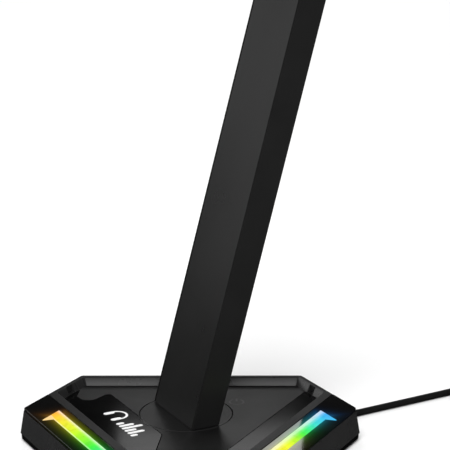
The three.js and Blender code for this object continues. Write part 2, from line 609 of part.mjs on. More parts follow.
const coilIn = COIL_R - 4 * CABLE_R;
const coilOut = COIL_R + 4 * CABLE_R;
const coilTop = COIL_BASE + COIL_HEIGHT;
const coilRing = turned([
  [coilIn, COIL_BASE + 2], [coilIn + 2, COIL_BASE], [coilOut - 2, COIL_BASE], [coilOut, COIL_BASE + 2],
  [coilOut, coilTop - 2], [coilOut - 2, coilTop], [coilIn + 2, coilTop], [coilIn, coilTop - 2],
  [coilIn, COIL_BASE + 2],
], 32).translate(COIL_X, COIL_Y, 0);
piece(lead, 'cable_coil', coilRing, 'rubber');

// A flat band round the bundle, on the coil's left side.
const TIE_THICK = 0.6;
const TIE_BOW = 0.4; // the coil's inner side bows towards a straight band
const bundleFrame = (margin) => rectangle(
  -coilOut - margin, COIL_BASE - margin, TIE_BOW - coilIn + margin, coilTop + margin);
const tieFrame = new THREE.Shape(rounded(bundleFrame(GAP + TIE_THICK), 1.2, 2));
tieFrame.holes.push(new THREE.Path(rounded(bundleFrame(GAP), 0.6, 2)));
piece(lead, 'cable_tie', new THREE.ExtrudeGeometry(tieFrame, { depth: 6, bevelEnabled: false })
  .rotateX(Math.PI / 2).translate(COIL_X, COIL_Y + 3, 0), 'rubber');

// The plug lies on the coil's right side, its contact end to the front.
const PLUG_HALF_HEIGHT = 3.6;
const plug = new THREE.Group();
plug.position.set(COIL_X + 18.5, COIL_Y, coilTop + GAP + PLUG_HALF_HEIGHT);
lead.add(plug);
const plugSection = (y, halfX, halfZ) =>
  rounded(rectangle(-halfX, -halfZ, halfX, halfZ), Math.min(halfX, halfZ) * 0.5, 3)
    .map((p) => [p.x, y, p.y]);
piece(plug, 'plug_body', alongY([
  plugSection(-4, 7.6, 3.4), plugSection(-3.4, 8, PLUG_HALF_HEIGHT), plugSection(11, 8, PLUG_HALF_HEIGHT),
  plugSection(14, 6.6, 3.4), plugSection(16, 3.4, 2.6), plugSection(22, 2.4, 2.3),
]), 'satin');
const plugSleeve = cut(
  new THREE.BoxGeometry(12, 12, 4.5).translate(0, -10.3, 0),
  new THREE.BoxGeometry(11.2, 14, 3.7).translate(0, -12, 0));
piece(plug, 'plug_shell', plugSleeve, 'steel');
piece(plug, 'plug_tongue', new THREE.BoxGeometry(10.4, 10.6, 1.6).translate(0, -10.3, -0.8), 'white');

export default stand;
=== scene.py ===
import math

import bmesh
import bpy
from mathutils import Matrix, Vector


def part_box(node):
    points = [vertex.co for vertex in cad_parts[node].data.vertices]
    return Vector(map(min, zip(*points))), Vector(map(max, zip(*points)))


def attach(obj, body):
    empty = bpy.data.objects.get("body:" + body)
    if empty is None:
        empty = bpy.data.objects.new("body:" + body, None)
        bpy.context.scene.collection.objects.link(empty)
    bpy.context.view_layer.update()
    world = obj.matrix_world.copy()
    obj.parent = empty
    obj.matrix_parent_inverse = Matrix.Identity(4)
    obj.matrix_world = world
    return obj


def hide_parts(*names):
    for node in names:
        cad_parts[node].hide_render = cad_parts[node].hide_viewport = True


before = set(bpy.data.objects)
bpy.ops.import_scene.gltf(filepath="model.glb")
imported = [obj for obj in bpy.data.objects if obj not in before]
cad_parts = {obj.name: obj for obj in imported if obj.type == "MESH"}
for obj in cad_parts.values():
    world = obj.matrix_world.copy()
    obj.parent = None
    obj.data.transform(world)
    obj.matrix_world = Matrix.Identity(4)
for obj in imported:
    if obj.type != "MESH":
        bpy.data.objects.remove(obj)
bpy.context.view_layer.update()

MM = 0.001
MICRON = 0.000001
SCENE = bpy.context.scene

# ---------- camera ----------
CAMERA_AT = Vector((0.0175, -0.9605, 0.4189))
CAMERA_DOWN = math.radians(17.2)
CAMERA_LENS = 170
CAMERA_SENSOR = 36


def make_camera():
    """A long lens in front of the stand, looking a little down on it."""
    data = bpy.data.cameras.new("camera")
    data.lens = CAMERA_LENS
    data.sensor_width = CAMERA_SENSOR
    data.clip_start = 0.01
    data.clip_end = 50
    camera = bpy.data.objects.new("camera", data)
    camera.location = CAMERA_AT
    camera.rotation_euler = (math.pi / 2 - CAMERA_DOWN, 0, 0)
    SCENE.collection.objects.link(camera)
    SCENE.camera = camera


# ---------- lead ----------
LEAD_THICK = 3.5 * MM
# From the strain relief to the coil.
LEAD_ROUTE = [
    (0.0767, 0.0536, 0.0029), (0.0789, 0.0549, 0.0028), (0.0815, 0.0564, 0.0024),
    (0.0841, 0.0579, 0.0020), (0.0867, 0.0594, 0.0018), (0.0901, 0.0614, 0.0018),
    (0.0936, 0.0634, 0.0018), (0.0979, 0.0659, 0.0018), (0.1057, 0.0704, 0.0018),
    (0.1144, 0.0754, 0.0018), (0.1230, 0.0804, 0.0018), (0.1317, 0.0854, 0.0018),
    (0.1395, 0.0900, 0.0018), (0.1479, 0.0949, 0.0019),
]
# From the coil's top turn over its rim and back into the plug, from the coil's middle.
LEAD_TAIL = [
    (-0.0145, 0.0123, 0.0096), (-0.0120, 0.0154, 0.0107), (-0.0095, 0.0185, 0.0119),
    (-0.0070, 0.0216, 0.0126), (-0.0040, 0.0253, 0.0130), (-0.0010, 0.0291, 0.0134),
    (0.0028, 0.0322, 0.0138), (0.0075, 0.0334, 0.0142), (0.0123, 0.0322, 0.0145),
    (0.0161, 0.0291, 0.0148), (0.0182, 0.0250, 0.0149), (0.0185, 0.0225, 0.0149),
    (0.0185, 0.0205, 0.0149),
]
# Where each turn of the coil lies: its radius, and the layer it lies in.
COIL_TURNS = [
    (0.02625, 0), (0.02275, 0), (0.01925, 0), (0.01575, 0), (0.01750, 1),
    (0.02100, 1), (0.02450, 1), (0.02625, 2), (0.02275, 2), (0.01925, 2),
]
COIL_START = 120  # degrees, where the lead meets the coil; it runs clockwise from there
COIL_END = COIL_START + 30
COIL_SHIFT_AT = 210  # degrees from the start to the middle of the stretch where turns change place
COIL_SHIFT_SPAN = 100
COIL_STEPS = 24  # points for each turn
COIL_FLOOR = 2.75 * MM
LAYER_RISE = LEAD_THICK * math.sin(math.radians(60))
CROSSING_LIFT = LEAD_THICK - LAYER_RISE


def eased(t):
    """A smooth step from 0 to 1."""
    t = min(max(t, 0), 1)
    return t * t * (3 - 2 * t)


def coil_point(centre, turned):
    """The point of the coil reached after winding that many degrees clockwise."""
    place = max(0, round((turned - COIL_SHIFT_AT) / 360))
    shifted = (turned - COIL_SHIFT_AT - 360 * place) / COIL_SHIFT_SPAN + 0.5
    before, after = (COIL_TURNS[min(place + k, len(COIL_TURNS) - 1)] for k in (0, 1))
    across = eased(shifted)
    upward = eased(2 * shifted) if before[1] != after[1] else across
    radius = before[0] + (after[0] - before[0]) * across
    layer = before[1] + (after[1] - before[1]) * upward
    height = COIL_FLOOR + LAYER_RISE * layer + CROSSING_LIFT * layer * math.sin(math.pi * across)
    angle = math.radians(COIL_START - turned)
    return centre + Vector((radius * math.cos(angle), radius * math.sin(angle), height))


def curve_piece(name, points, thick):
    """A round tube along one smooth curve that follows the points."""
    data = bpy.data.curves.new(name, "CURVE")
    data.dimensions = "3D"
    data.bevel_depth = 1  # each knot's radius scales this
    data.bevel_resolution = 3
    data.use_fill_caps = True
    data.resolution_u = 3
    spline = data.splines.new("NURBS")
    spline.points.add(len(points) - 1)
    for knot, place in zip(spline.points, points):
        knot.co = (*place, 1)
        knot.radius = thick / 2
    spline.order_u = 4
    spline.use_endpoint_u = True
    piece = bpy.data.objects.new(name, data)
    SCENE.collection.objects.link(piece)
    return piece


def make_lead():
    """The lead from its strain relief through the coil to its plug, as one piece."""
    low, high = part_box("cable_coil")
    centre = Vector(((low.x + high.x) / 2, (low.y + high.y) / 2, 0))
    whole = 360 * len(COIL_TURNS) - (COIL_END - COIL_START)
    step = 360 / COIL_STEPS
    turns = [coil_point(centre, k * step) for k in range(int(whole / step) + 1)]
    tail = [centre + Vector(p) for p in LEAD_TAIL]
    lead = curve_piece("lead", [Vector(p) for p in LEAD_ROUTE] + turns + tail, LEAD_THICK)
    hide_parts("cable_run", "cable_coil")
    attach(lead, "base")
    return lead


make_camera()
lead = make_lead()

# ---------- node materials ----------


# Most of a noise texture's values lie between these two.
NOISE_LOW, NOISE_HIGH = 0.3, 0.7
# The pointiness at which an edge starts to get its painted highlight, and at which the highlight is
# full.
HIGHLIGHT_FROM, HIGHLIGHT_TO = 0.52, 0.62


class Paint:
    """A node material under construction. Its textures lie in the stand's frame, in metres."""

    def __init__(self, name):
        self.material = bpy.data.materials.new(name)
        self.material.use_nodes = True
        self.tree = self.material.node_tree
        self.shader = self.tree.nodes["Principled BSDF"]
        self.place = self.add("ShaderNodeTexCoord").outputs["Object"]

    def add(self, kind, *values, **settings):
        """A node with its settings, and its inputs in order; None leaves an input as it is."""
        node = self.tree.nodes.new(kind)
        for key, value in settings.items():
            setattr(node, key, value)
        for socket, value in zip(node.inputs, values):
            self.feed(socket, value)
        return node

    def feed(self, socket, value):
        if isinstance(value, bpy.types.NodeSocket):
            self.tree.links.new(value, socket)
        elif value is not None:
            socket.default_value = value

    def set(self, **sockets):
        """Values or links for the shader's sockets, with _ for the spaces in their names."""
        for key, value in sockets.items():
            self.feed(self.shader.inputs[key.replace("_", " ")], value)

    def noise(self, scale, detail=3, stretch=None):
        """Cloudy noise; stretch scales its place along X, Y and Z."""
        place = self.place
        if stretch:
            place = self.add("ShaderNodeMapping", place, None, None, stretch).outputs[0]
        node = self.add("ShaderNodeTexNoise")
        self.feed(node.inputs["Vector"], place)
        self.feed(node.inputs["Scale"], scale)
        self.feed(node.inputs["Detail"], detail)
        return node.outputs["Fac"]

    def cells(self, scale, feature="F1"):
        """Distances in a pattern of irregular cells."""
        node = self.add("ShaderNodeTexVoronoi", feature=feature)
        self.feed(node.inputs["Vector"], self.place)
        self.feed(node.inputs["Scale"], scale)
        return node.outputs["Distance"]

    def maths(self, operation, *values):
        return self.add("ShaderNodeMath", *values, operation=operation).outputs[0]

    def along(self, direction):
        """How far a point lies along a direction."""
        return self.add(
            "ShaderNodeVectorMath", self.place, tuple(direction), operation="DOT_PRODUCT"
        ).outputs["Value"]

    def spread(self, value, low, high, to_low=0.0, to_high=1.0):
        """A value's stretch from low to high, mapped onto another one."""
        return self.add("ShaderNodeMapRange", value, low, high, to_low, to_high).outputs[0]

    def uneven(self, noise, least, most):
        """A number that varies with a noise."""
        return self.spread(noise, NOISE_LOW, NOISE_HIGH, least, most)

    def clouded(self, noise, first, second):
        """A colour that varies with a noise."""
        return self.ramp(noise, [(NOISE_LOW, first), (NOISE_HIGH, second)])

    def ramp(self, factor, stops):
        """Colours at stops along a factor, blended between them."""
        node = self.add("ShaderNodeValToRGB", factor)
        elements = node.color_ramp.elements
        while len(elements) < len(stops):
            elements.new(0.5)
        for element, (position, colour) in zip(elements, stops):
            element.position = position
            element.color = (*colour, 1)
        return node.outputs["Color"]

    def mixed(self, factor, first, second):
        """The first colour at a factor of 0, the second at 1."""
        node = self.add("ShaderNodeMix", data_type="RGBA")
        for name, value in (("Factor", factor), ("A", first), ("B", second)):
            wanted = "VALUE" if name == "Factor" else "RGBA"
            socket = next(s for s in node.inputs if s.name == name and s.type == wanted)
            self.feed(socket, (*value, 1) if isinstance(value, tuple) else value)
        return next(s for s in node.outputs if s.type == "RGBA")

    def bump(self, height, depth, strength=1.0):
        """Fine relief from a height, as deep as a depth in metres."""
        node = self.add("ShaderNodeBump")
        self.feed(node.inputs["Strength"], strength)
        self.feed(node.inputs["Distance"], depth)
        self.feed(node.inputs["Height"], height)
        self.set(Normal=node.outputs["Normal"])

    def edges(self):
        """1 on sharp edges, where a highlight is painted, 0 elsewhere."""
        sharp = self.add("ShaderNodeNewGeometry").outputs["Pointiness"]
        return self.spread(sharp, HIGHLIGHT_FROM, HIGHLIGHT_TO)


def grey(level, warmth=0.0):
    """A grey as red, green and blue; a little warmth moves it from blue to red."""
    return (level * (1 + warmth), level, level * (1 - warmth))


MOTTLE_SCALE, MOTTLE_DETAIL = 45, 4
MOTTLE_DARK, MOTTLE_LIGHT = 0.86, 1.14  # of the plastic's own tone
EDGE_HIGHLIGHT = 1.6  # how much lighter than the plastic its edges are painted, as a highlight


def moulded(name, tone, roughness, specular, grain, depth, edge_highlight=EDGE_HIGHLIGHT):
    """Moulded plastic: a fine texture, faint mottling, and a painted highlight that makes its edges
    lighter.
    """
    paint = Paint(name)
    mottle = paint.noise(MOTTLE_SCALE, MOTTLE_DETAIL)
    body = paint.clouded(mottle, grey(tone * MOTTLE_DARK), grey(tone * MOTTLE_LIGHT))
    paint.set(
        # Painted highlight: sharp edges are made lighter than the plastic.
        Base_Color=paint.mixed(paint.edges(), body, grey(tone * edge_highlight)),
        Roughness=paint.spread(mottle, 0.25, 0.75, roughness * 0.97, roughness * 1.03),
        Specular_IOR_Level=specular,
    )
    paint.bump(paint.noise(grain, 2), depth)
    return paint.material


# Painted light and shade: the shell's walls get a lighter tone than its level faces.
WALL_LIT_TONE, WALL_ROUGHNESS = 0.018, 0.27
LEVEL_SHADED_TONE, LEVEL_ROUGHNESS = 0.006, 0.46
# The upward part of a face's normal at which it starts to count as level, and fully does.
LEVEL_FROM, LEVEL_TO = 0.75, 0.95


def shell_plastic():
    """Moulded plastic, rougher on its level faces than on its walls, with painted shade that makes
    its level faces darker and its walls lighter.
    """
    paint = Paint("shell_plastic")
    normal = paint.add("ShaderNodeNewGeometry").outputs["Normal"]
    upward = paint.add("ShaderNodeSeparateXYZ", normal).outputs["Z"]
    level = paint.spread(upward, LEVEL_FROM, LEVEL_TO)
    mottle = paint.noise(MOTTLE_SCALE, MOTTLE_DETAIL)
    body = paint.clouded(mottle, grey(MOTTLE_DARK), grey(MOTTLE_LIGHT))
    # Painted shade by facing: level faces take the darker tone, walls the lighter one.
    tone = paint.mixed(level, grey(WALL_LIT_TONE), grey(LEVEL_SHADED_TONE))
    # Painted highlight: sharp edges are made lighter.
    mottle_and_highlight = paint.mixed(paint.edges(), body, grey(EDGE_HIGHLIGHT))
    rough = paint.spread(level, 0, 1, WALL_ROUGHNESS, LEVEL_ROUGHNESS)
    uneven = paint.spread(mottle, 0.25, 0.75, 0.92, 1.08)
    colour = paint.add("ShaderNodeVectorMath", tone, mottle_and_highlight, operation="MULTIPLY")
    paint.set(
        Base_Color=colour.outputs["Vector"],
        Roughness=paint.maths("MULTIPLY", rough, uneven),
        Specular_IOR_Level=0.35,
    )
    paint.bump(paint.noise(2600, 2), 6 * MICRON)
    return paint.material


def polished(name, tone, roughness):
    """Glossy black plastic with hairline scratches and faint smears in its polish."""
    paint = Paint(name)
    smears = paint.noise(28, 5, (1, 2.5, 1))
    scratches = paint.noise(900, 2, (1, 0.03, 1))
    body = paint.ramp(smears, [(0.35, grey(tone * 0.8)), (0.75, grey(tone * 1.3))])
    paint.set(
        Base_Color=body,
        Roughness=paint.spread(smears, 0.3, 0.8, roughness * 0.9, roughness * 1.2),
        Specular_IOR_Level=0.07,
    )
    paint.bump(scratches, 4 * MICRON, 0.25)
    return paint.material


def metal(name, tone, roughness):
    """Plain metal: brushed, with cloudy patches."""
    paint = Paint(name)
    clouds = paint.noise(160, 4)
    brushing = paint.noise(1500, 2, (1, 0.05, 1))
    paint.set(
        Base_Color=paint.clouded(clouds, grey(tone * 0.8, 0.02), grey(tone, -0.01)),
        Metallic=1.0,
        Roughness=paint.uneven(clouds, roughness * 0.8, roughness * 1.2),
    )
    paint.bump(brushing, 30 * MICRON, 0.4)
    return paint.material


def circuit_board():
    """Green solder mask, lighter over the copper tracks under it."""
    paint = Paint("circuit_board")
    tracks = paint.cells(420, "DISTANCE_TO_EDGE")
    colour = paint.ramp(tracks, [(0.0, (0.05, 0.2, 0.08)), (0.12, (0.012, 0.07, 0.025))])
    paint.set(Base_Color=colour, Roughness=paint.spread(tracks, 0, 0.3, 0.28, 0.4))
    paint.bump(tracks, 50 * MICRON, 0.3)
    return paint.material


def white_plastic():
    """Off-white plastic, faintly clouded."""
    paint = Paint("white_plastic")
    cloud = paint.noise(120)
    paint.set(
        Base_Color=paint.clouded(cloud, grey(0.7, 0.02), grey(0.8, 0.01)),
        Roughness=paint.uneven(cloud, 0.35, 0.5),
    )
    paint.bump(paint.noise(1800, 2), 20 * MICRON, 0.5)
    return paint.material


# ---------- lit bars ----------
SIDE_SLOPE = math.radians(62.3)  # the base's long sides, from the X axis
ACROSS = Vector((math.cos(SIDE_SLOPE), -math.sin(SIDE_SLOPE), 0))  # across the post's wide face
LEANING = Vector((math.sin(SIDE_SLOPE), math.cos(SIDE_SLOPE), 0))  # the way the post leans
BAR_HOOK = 4 * MM  # how much of a bar's rear end is its hook
BAR_EDGE = 6.6 * MM  # from a bar's outer edge to its inner one
BAR_FACE = 0.02  # a bar's own grey, under its light
LED_WHITE = (1.0, 0.98, 0.90)

# The bars' hues, from their rear ends to their front ones.
WARM_TO_COOL = [
    (0.00, (1.00, 0.40, 0.04)), (0.05, (1.00, 0.50, 0.02)), (0.14, (0.92, 0.80, 0.01)),
    (0.25, (0.72, 0.92, 0.00)), (0.34, (0.36, 0.95, 0.00)), (0.47, (0.03, 0.90, 0.03)),
    (0.62, (0.01, 0.70, 0.40)), (1.00, (0.02, 0.30, 0.95)),
]
COOL_TO_WARM = [
    (0.00, (0.02, 0.30, 0.92)), (0.07, (0.02, 0.48, 0.90)), (0.17, (0.02, 0.76, 0.64)),
    (0.25, (0.01, 0.88, 0.15)), (0.30, (0.05, 0.92, 0.03)), (0.37, (0.45, 0.94, 0.00)),
    (0.46, (0.88, 0.94, 0.00)), (1.00, (1.00, 0.25, 0.03)),
]
# How far the LEDs bleach a bar, from its outer edge to its inner one.
NARROW_BLEACH = [(0.0, 0.30), (0.07, 0.0), (0.55, 0.02), (0.74, 0.22), (0.85, 0.40), (1.0, 0.55)]
WIDE_BLEACH = [(0.0, 0.03), (0.25, 0.01), (0.45, 0.18), (0.62, 0.40), (0.8, 0.52), (1.0, 0.58)]
SIDES = {
    "left": {
        "front": ACROSS, "inward": LEANING, "hues": WARM_TO_COOL, "bleach": NARROW_BLEACH,
    },
    "right": {
        "front": Vector((-ACROSS.x, ACROSS.y, 0)), "inward": Vector((-LEANING.x, LEANING.y, 0)),
        "hues": COOL_TO_WARM, "bleach": WIDE_BLEACH,
    },
}


def span(node, direction):
    """How far a CAD node reaches along a direction: its lowest and highest."""
    reach = [v.co.dot(direction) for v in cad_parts[node].data.vertices]
    return min(reach), max(reach)


def bar_places(side):
    """Where a bar starts and ends towards the front, and its inner edge."""
    node = f"{side}_light_bar"
    start, end = span(node, SIDES[side]["front"])
    return start, end, span(node, SIDES[side]["inward"])[1]


def hue(paint, side):
    """A bar's colour by how far to the front a point lies."""
    start, end, _ = bar_places(side)
    forward = paint.along(SIDES[side]["front"])
    return paint.ramp(paint.spread(forward, start, end), SIDES[side]["hues"])


def lit_bar(side):
    """A milky diffuser: saturated on its outer facet, bleached by the LEDs on its inner one."""
    paint = Paint(f"{side}_diffuser")
    _, _, inner = bar_places(side)
    colour = hue(paint, side)
    depth = paint.along(SIDES[side]["inward"])
    stops = [(place, grey(level)) for place, level in SIDES[side]["bleach"]]
    bleached = paint.ramp(paint.spread(depth, inner - BAR_EDGE, inner), stops)
    glow = paint.mixed(bleached, colour, LED_WHITE)
    spots = paint.noise(260, 2)
    paint.set(
        Base_Color=(*grey(BAR_FACE), 1),
        Specular_IOR_Level=0.05,
        Emission_Color=glow,
        Emission_Strength=paint.uneven(spots, 0.92, 1.08),
        Roughness=paint.uneven(spots, 0.25, 0.35),
    )
    paint.bump(paint.noise(2600, 2), 20 * MICRON, 0.4)
    return paint.material


HALO_REACH = 3.4 * MM
HALO_FADE = -1.6  # the power of e that is left of the halo at its reach
HALO_STRENGTH = 0.22


def lit_window(side):
    """Piano black acrylic that glows for a few millimetres around its bar."""
    paint = Paint(f"{side}_window")
    start, _, inner = bar_places(side)
    forward = paint.along(SIDES[side]["front"])
    depth = paint.along(SIDES[side]["inward"])
    inside = paint.maths("SUBTRACT", depth, inner)
    outside = paint.maths("SUBTRACT", inner - BAR_EDGE, depth)
    behind = paint.maths("SUBTRACT", start + BAR_HOOK, forward)
    away = paint.maths("MAXIMUM", paint.maths("MAXIMUM", inside, outside), behind)
    near = paint.maths("DIVIDE", paint.maths("MAXIMUM", away, 0.0), HALO_REACH)
    halo = paint.maths("EXPONENT", paint.maths("MULTIPLY", near, HALO_FADE))
    smears = paint.noise(30, 5, (1, 2.5, 1))
    paint.set(
        Base_Color=paint.ramp(smears, [(0.35, grey(0.0015)), (0.75, grey(0.003))]),
        Roughness=paint.spread(smears, 0.3, 0.8, 0.03, 0.07),
        Emission_Color=hue(paint, side),
        Emission_Strength=paint.maths("MULTIPLY", halo, HALO_STRENGTH),
    )
    paint.bump(paint.noise(900, 2, (1, 0.03, 1)), 6 * MICRON, 0.2)
    return paint.material


# ---------- finishing the CAD nodes ----------
WELD_REACH = 0.01 * MM
EDGE_ANGLE = math.radians(32)


def smoothing_group():
    """A modifier's node group that joins split corners and shades faces smooth."""
    group = bpy.data.node_groups.new("weld_and_smooth", "GeometryNodeTree")
    for way in ("INPUT", "OUTPUT"):
        group.interface.new_socket("Geometry", in_out=way, socket_type="NodeSocketGeometry")
    start = group.nodes.new("NodeGroupInput")
    weld = group.nodes.new("GeometryNodeMergeByDistance")
    weld.inputs["Distance"].default_value = WELD_REACH
    smooth = group.nodes.new("GeometryNodeSetShadeSmooth")
    end = group.nodes.new("NodeGroupOutput")
    for a, b in ((start, weld), (weld, smooth), (smooth, end)):
        group.links.new(a.outputs[0], b.inputs[0])
    return group


WELD = smoothing_group()


def soften(piece, width):
    """Narrow bevels along a piece's edges."""
    bevel = piece.modifiers.new("bevel", "BEVEL")
    bevel.width = width
    bevel.segments = 2
    bevel.limit_method = "ANGLE"
    return bevel


def finish_node(name, material, round_by):
    """Softens a CAD node's edges, by a width in millimetres, and gives it its material."""
    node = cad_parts[name]
    node.modifiers.new("weld", "NODES").node_group = WELD
    soften(node, round_by * MM).angle_limit = EDGE_ANGLE
    shading = node.modifiers.new("shading", "WEIGHTED_NORMAL")
    shading.keep_sharp = True
    node.data.materials.clear()
    node.data.materials.append(material)


def finish_nodes():
    """Every CAD node with its material and how far its edges are softened, in millimetres."""
    satin = shell_plastic()
    post = moulded(
        "post_plastic", tone=0.010, roughness=0.28, specular=0.1, grain=3200, depth=6 * MICRON)
    gloss = polished("gloss_inlay", tone=0.0015, roughness=0.11)
    under = moulded(
        "underside_plastic", tone=0.003, roughness=0.5, specular=0.1, grain=2200, depth=10 * MICRON)
    rubber = moulded(
        "foot_rubber", tone=0.012, roughness=0.8, specular=0.3, grain=1600, depth=40 * MICRON,
        edge_highlight=1.2)
    steel = metal("zinc_steel", tone=0.55, roughness=0.32)
    dark_steel = metal("ballast_steel", tone=0.3, roughness=0.5)
    white = white_plastic()
    board = circuit_board()
    finishes = {
        satin: [("base_top_shell", 0.2), ("post_foot", 0.2)],
        post: [
            ("post_body", 0.15), ("post_front_cover", 0.1), ("head_body", 0.5), ("plug_body", 0.3),
        ],
        gloss: [("badge_panel", 0.1), ("side_panel", 0.1)],
        under: [("base_bottom_plate", 0.2), ("head_underside", 0.2)],
        rubber: [
            ("foot_rear_left", 0.2), ("foot_rear_right", 0.2), ("foot_front_left", 0.2),
            ("foot_front_right", 0.2), ("strain_relief", 0.1), ("cable_tie", 0.1),
        ],
        steel: [
            (name, 0.06) for name in sorted(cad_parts) if "screw" in name
        ] + [("plug_shell", 0.12), ("twist_lock_ring", 0.1)],
        dark_steel: [("ballast_plate", 0.3), ("foot_tenon", 0.2), ("head_tenon", 0.2)],
        white: [("plug_tongue", 0.1), ("left_led_strip", 0.1), ("right_led_strip", 0.1)],
        board: [("control_board", 0.1), ("touch_key_pad", 0.1)],
        lit_bar("left"): [("left_light_bar", 0.12)],
        lit_bar("right"): [("right_light_bar", 0.12)],
        lit_window("left"): [("left_light_window", 0.08)],
        lit_window("right"): [("right_light_window", 0.08)],
    }
    for material, nodes in finishes.items():
        for name, round_by in nodes:
            finish_node(name, material, round_by)


finish_nodes()


def lead_jacket():
    """Matt PVC with a faint unevenness along its jacket."""
    paint = Paint("lead_jacket")
    wave = paint.noise(300, 2)
    paint.set(
        Base_Color=paint.clouded(wave, grey(0.005), grey(0.008)),
        Roughness=paint.uneven(wave, 0.42, 0.55),
        Specular_IOR_Level=0.35,
    )
    paint.bump(wave, 30 * MICRON, 0.5)
    return paint.material


lead.data.materials.append(lead_jacket())

# ---------- added pieces ----------


def add_piece(name, work, material, body, smooth=False):
    """A piece from a finished bmesh, that rides a body and takes its finish from a slot."""
    bmesh.ops.recalc_face_normals(work, faces=work.faces)
    data = bpy.data.meshes.new(name)
    work.to_mesh(data)
    work.free()
    for face in data.polygons:
        face.use_smooth = smooth
    data.materials.append(material)
    piece = bpy.data.objects.new(name, data)
    SCENE.collection.objects.link(piece)
    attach(piece, body)
    return piece


def arc(middle, radius, start, end, steps=16):
    """Points along an arc, between two angles in degrees."""
    turns = [math.radians(start + (end - start) * k / steps) for k in range(steps + 1)]
    return [(middle[0] + radius * math.cos(t), middle[1] + radius * math.sin(t)) for t in turns]


def bow(middle, radius, width, start, end):
    """The outline of a band bent along an arc."""
    return arc(middle, radius, start, end) + arc(middle, radius - width, end, start)


def stroke(across, low, high, half):
    """The outline of an upright bar with round ends."""
    top = arc((across, high - half), half, 0, 180, 8)
    return top + arc((across, low + half), half, 180, 360, 8)


PRINT_THICK = 0.05 * MM
PRINT_STEP = 0.006 * MM  # between one outline's top and the next one's, so that none coincide


def print_shapes(name, outlines, at, along, up, material):
    """Outlines in millimetres as a thin raised print; each stands a hair above the one before."""
    work = bmesh.new()
    for order, outline in enumerate(outlines):
        rise = Vector((0, 0, PRINT_THICK + PRINT_STEP * order))
        low = [work.verts.new(at + (along * u + up * v) * MM) for u, v in outline]
        high = [work.verts.new(v.co + rise) for v in low]
        work.faces.new(high)
        for k in range(len(low)):
            work.faces.new((low[k - 1], low[k], high[k], high[k - 1]))
    return add_piece(name, work, material, "base")


def print_ink(name, tone):
    """Screen ink, thinner in places."""
    paint = Paint(name)
    cover = paint.noise(700, 2)
    paint.set(
        Base_Color=paint.ramp(cover, [(0.3, grey(tone * 0.9)), (0.6, grey(tone))]),
        Roughness=paint.uneven(cover, 0.4, 0.55),
        Specular_IOR_Level=0.2,
    )
    paint.bump(cover, 10 * MICRON, 0.5)
    return paint.material


MARK_AT = Vector((-0.0443, 0.0295, 0.01364))
KEY_AT = Vector((0.0234, 0.0449, 0.01349))
# The prints' sizes, in millimetres from the places above.
MARK_FOOT = 0.3
BAND_MIDDLE, BAND_RADIUS, BAND_WIDTH = 6, 5.6, 1.2
CUPS_AT, CUP_TOP, CUP_HALF = (1.7, 10.3), 6.2, 1.4
EQUALISER = [4.6, 8.4, 11.6, 6.6, 9.4, 4.2]  # the tops of its bars
EQUALISER_FROM, EQUALISER_PITCH, EQUALISER_HALF = 16.6, 3.3, 1.1
SIGN_RADIUS, SIGN_WIDTH = 4.0, 0.9
SIGN_GAP = 64  # degrees, open at its top
SIGN_STROKE = (0.6, 4.6)


def make_prints():
    """A headphone and an equaliser on the badge, and the sign over the touch key."""
    headphone = [bow((BAND_MIDDLE, BAND_RADIUS), BAND_RADIUS, BAND_WIDTH, 0, 180)]
    headphone += [stroke(across, MARK_FOOT, CUP_TOP, CUP_HALF) for across in CUPS_AT]
    bars = [
        stroke(EQUALISER_FROM + EQUALISER_PITCH * k, MARK_FOOT, top, EQUALISER_HALF)
        for k, top in enumerate(EQUALISER)
    ]
    white = print_ink("white_ink", 0.8)
    print_shapes("badge_mark", headphone + bars, MARK_AT, ACROSS, LEANING, white)
    ring = bow((0, 0), SIGN_RADIUS, SIGN_WIDTH, 90 + SIGN_GAP / 2, 450 - SIGN_GAP / 2)
    sign = [ring, stroke(0, *SIGN_STROKE, SIGN_WIDTH / 2)]
    dim = print_ink("grey_ink", 0.06)
    print_shapes("key_sign", sign, KEY_AT, Vector((1, 0, 0)), Vector((0, 1, 0)), dim)


make_prints()

# The pad's rings from its foot to its crown, in millimetres: how far in from its edge and how
# high over the saddle. The dip at 3.7 is its sewn channel.
PAD_RINGS = [
    (1.2, 0.0), (0.3, 0.2), (0.0, 0.9), (0.2, 1.6), (0.8, 2.1), (1.8, 2.35),
    (2.9, 2.3), (3.4, 1.95), (3.7, 1.85), (4.0, 1.95), (4.6, 2.4), (6.0, 2.9),
    (9.0, 3.25), (13.0, 3.45), (17.0, 3.5), (21.0, 3.5),
]
PAD_CORNER = 5 * MM
PAD_LEAST_CORNER = 0.5 * MM
PAD_STRAIGHT, PAD_BEND = 10, 5  # points along each side of a ring and round each corner
SEAM_INSET, SEAM_HEIGHT = 3.7 * MM, 2.0 * MM
ARCH_FLAT = 4 * MM  # half the width over which the saddle is level
ARCH_RUN = 21 * MM
ARCH_FALL = 5.5 * MM


def arch_drop(across):
    """How far the saddle has fallen from its crest, that far from its middle."""
    return ARCH_FALL * (max(0, abs(across) - ARCH_FLAT) / ARCH_RUN) ** 2


def rounded_ring(half_u, half_v, corner):
    """Points round a rectangle with round corners, anticlockwise."""
    ring = []
    for quarter in range(4):
        out, side = (half_u, half_v) if quarter % 2 == 0 else (half_v, half_u)
        reach = side - corner
        part = [(out, reach * (2 * k / PAD_STRAIGHT - 1)) for k in range(PAD_STRAIGHT)]
        part += arc((out - corner, reach), corner, 0, 90, PAD_BEND)[:-1]
        turn = quarter * math.pi / 2
        ring += [
            (u * math.cos(turn) - v * math.sin(turn), u * math.sin(turn) + v * math.cos(turn))
            for u, v in part
        ]
    return ring


